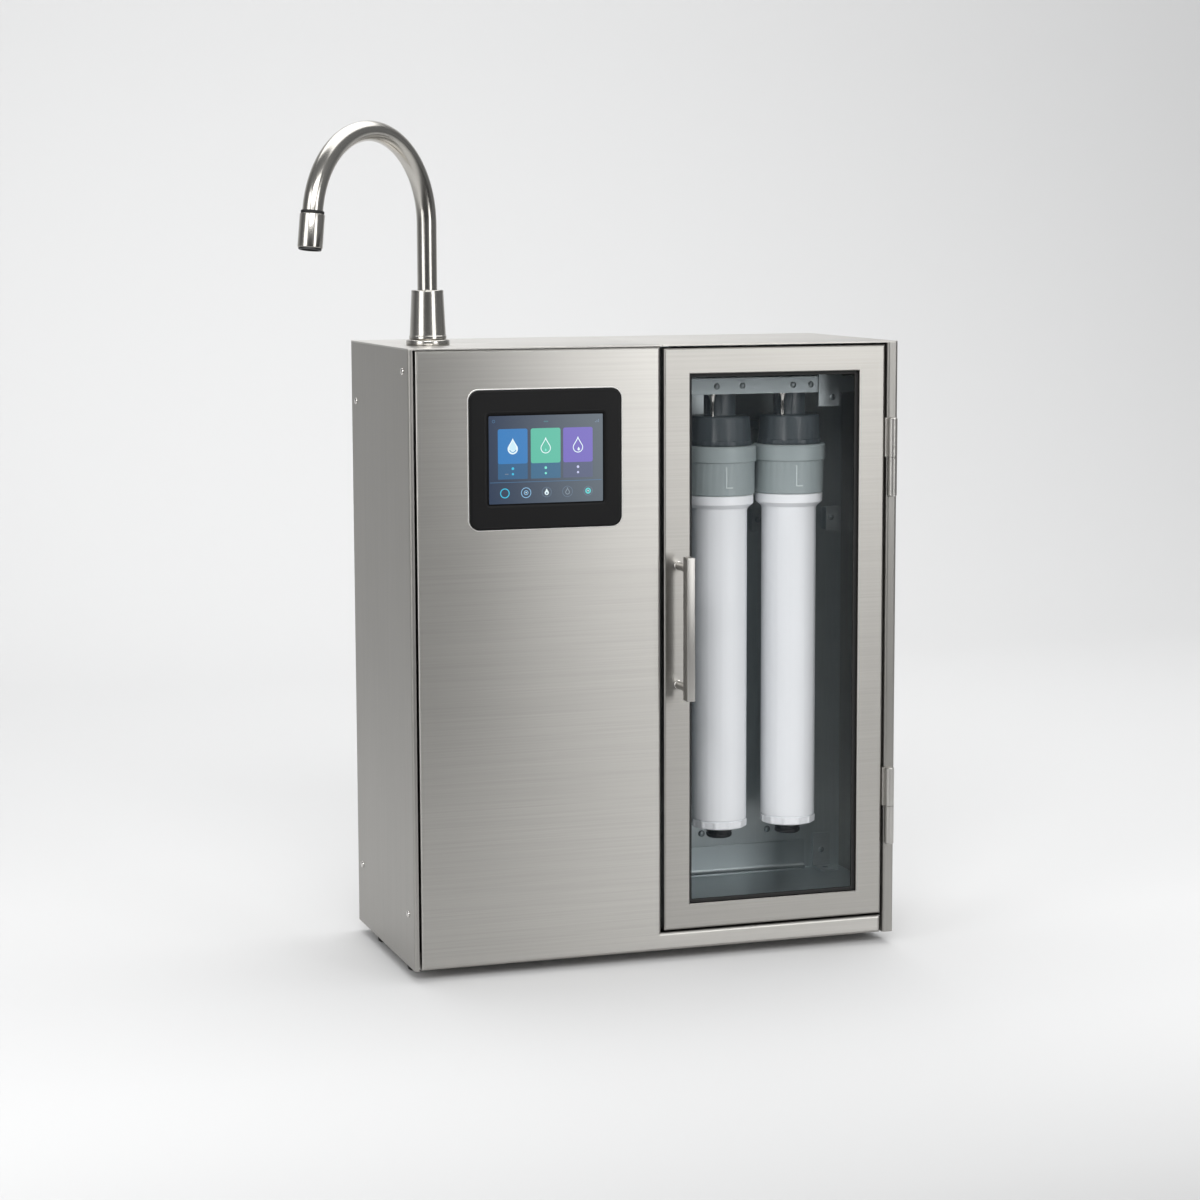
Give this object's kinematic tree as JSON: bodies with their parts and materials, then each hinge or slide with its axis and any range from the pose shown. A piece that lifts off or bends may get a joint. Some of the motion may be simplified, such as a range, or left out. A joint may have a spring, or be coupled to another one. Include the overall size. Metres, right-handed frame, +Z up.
{
  "type": "water ionizer",
  "caption": "Counter-standing stainless water ionizer with a touch screen, a swivel gooseneck faucet and a glazed door over quarter-turn filter cartridges.",
  "frame": {"origin": "on the floor, under the middle of the cabinet's footprint", "axes": "+Z up; the front with the screen and the door faces -Y; +X to the right as seen from the front"},
  "size_m": [0.6107, 0.2952, 0.8205],
  "materials": {
    "brushed_stainless": "brushed stainless sheet",
    "inner_steel": "plain grey steel sheet",
    "bright_steel": "fine brushed bright steel",
    "faucet_chrome": "satin polished chrome",
    "nut_brass": "plain brass",
    "black_rubber": "matt black rubber",
    "door_glass": "clear glass with a light grey tint",
    "bezel_black": "satin black bezel",
    "display": "lit display under a smooth cover",
    "dark_plastic": "satin charcoal plastic",
    "collar_grey": "satin grey plastic",
    "cartridge_white": "smooth white plastic",
    "black_plastic": "satin black plastic",
    "carbon_block": "matt black carbon",
    "cell_white": "satin white plastic",
    "hose_blue": "soft pale blue tubing",
    "board_green": "green board with black and bare metal pieces"
  },
  "bodies": {
    "cabinet": {"base_pan": "brushed_stainless", "feet": "black_rubber", "left_side_panel": "brushed_stainless", "right_side_panel": "brushed_stainless", "back_panel": "brushed_stainless", "top_panel": "brushed_stainless", "bay_top_panel": "brushed_stainless", "front_panel": "brushed_stainless", "divider": "inner_steel", "bay_back_panel": "inner_steel", "bay_tray": "inner_steel", "filter_rail": "inner_steel", "rail_end_bracket": "inner_steel", "bay_brackets": "inner_steel", "side_screws": "bright_steel", "bay_screws": "bright_steel", "hinge_post_barrels": "bright_steel", "hinge_pins": "bright_steel", "door_catch": "dark_plastic", "faucet_flange": "faucet_chrome", "faucet_body": "faucet_chrome", "faucet_shank": "faucet_chrome", "faucet_lock_nut": "nut_brass", "spout_bush": "black_rubber", "screen_bezel": "bezel_black", "screen_display": "display", "screen_housing": "dark_plastic", "left_filter_head": "dark_plastic", "right_filter_head": "dark_plastic", "head_hangers": "bright_steel", "electrolysis_cell": "cell_white", "cell_clamps": "inner_steel", "inlet_valve": "cell_white", "flow_sensor": "dark_plastic", "drain_fitting": "dark_plastic", "water_hoses": "hose_blue", "power_supply": "inner_steel", "control_board": "board_green", "mains_inlet": "black_plastic"},
    "door": {"door_frame": "brushed_stainless", "door_gasket": "black_rubber", "door_glass": "door_glass", "glass_retainer": "inner_steel", "handle_bar": "bright_steel", "handle_posts": "bright_steel", "hinge_door_barrels": "bright_steel", "catch_plate": "bright_steel"},
    "spout": {"spout_tube": "faucet_chrome", "nozzle_ring": "black_rubber", "nozzle": "faucet_chrome", "aerator": "dark_plastic"},
    "left_filter": {"left_filter_collar": "collar_grey", "left_cartridge": "cartridge_white", "left_filter_element": "carbon_block", "left_filter_plug": "black_plastic"},
    "right_filter": {"right_filter_collar": "collar_grey", "right_cartridge": "cartridge_white", "right_filter_element": "carbon_block", "right_filter_plug": "black_plastic"},
    "rocker": {"power_rocker": "black_plastic"}
  },
  "joints": [
    {"name": "door_hinge", "type": "hinge", "parent": "cabinet", "child": "door", "pos_m": [0.2426, -0.1199, 0.31875], "axis": [0, 0, 1], "range_deg": [0, 170]},
    {"name": "spout_swivel", "type": "hinge", "parent": "cabinet", "child": "spout", "pos_m": [-0.21, -0.038, 0.64], "axis": [0, 0, 1], "continuous": true},
    {"name": "left_filter_twist", "type": "hinge", "parent": "cabinet", "child": "left_filter", "pos_m": [0.08775, -0.045, 0.49], "axis": [0, 0, 1], "range_deg": [0, 90]},
    {"name": "right_filter_twist", "type": "hinge", "parent": "cabinet", "child": "right_filter", "pos_m": [0.16225, -0.045, 0.49], "axis": [0, 0, 1], "range_deg": [0, 90]},
    {"name": "power_rocker_tip", "type": "hinge", "parent": "cabinet", "child": "rocker", "pos_m": [-0.138, 0.1145, 0.078], "axis": [1, 0, 0], "range_deg": [-14, 0]}
  ]
}
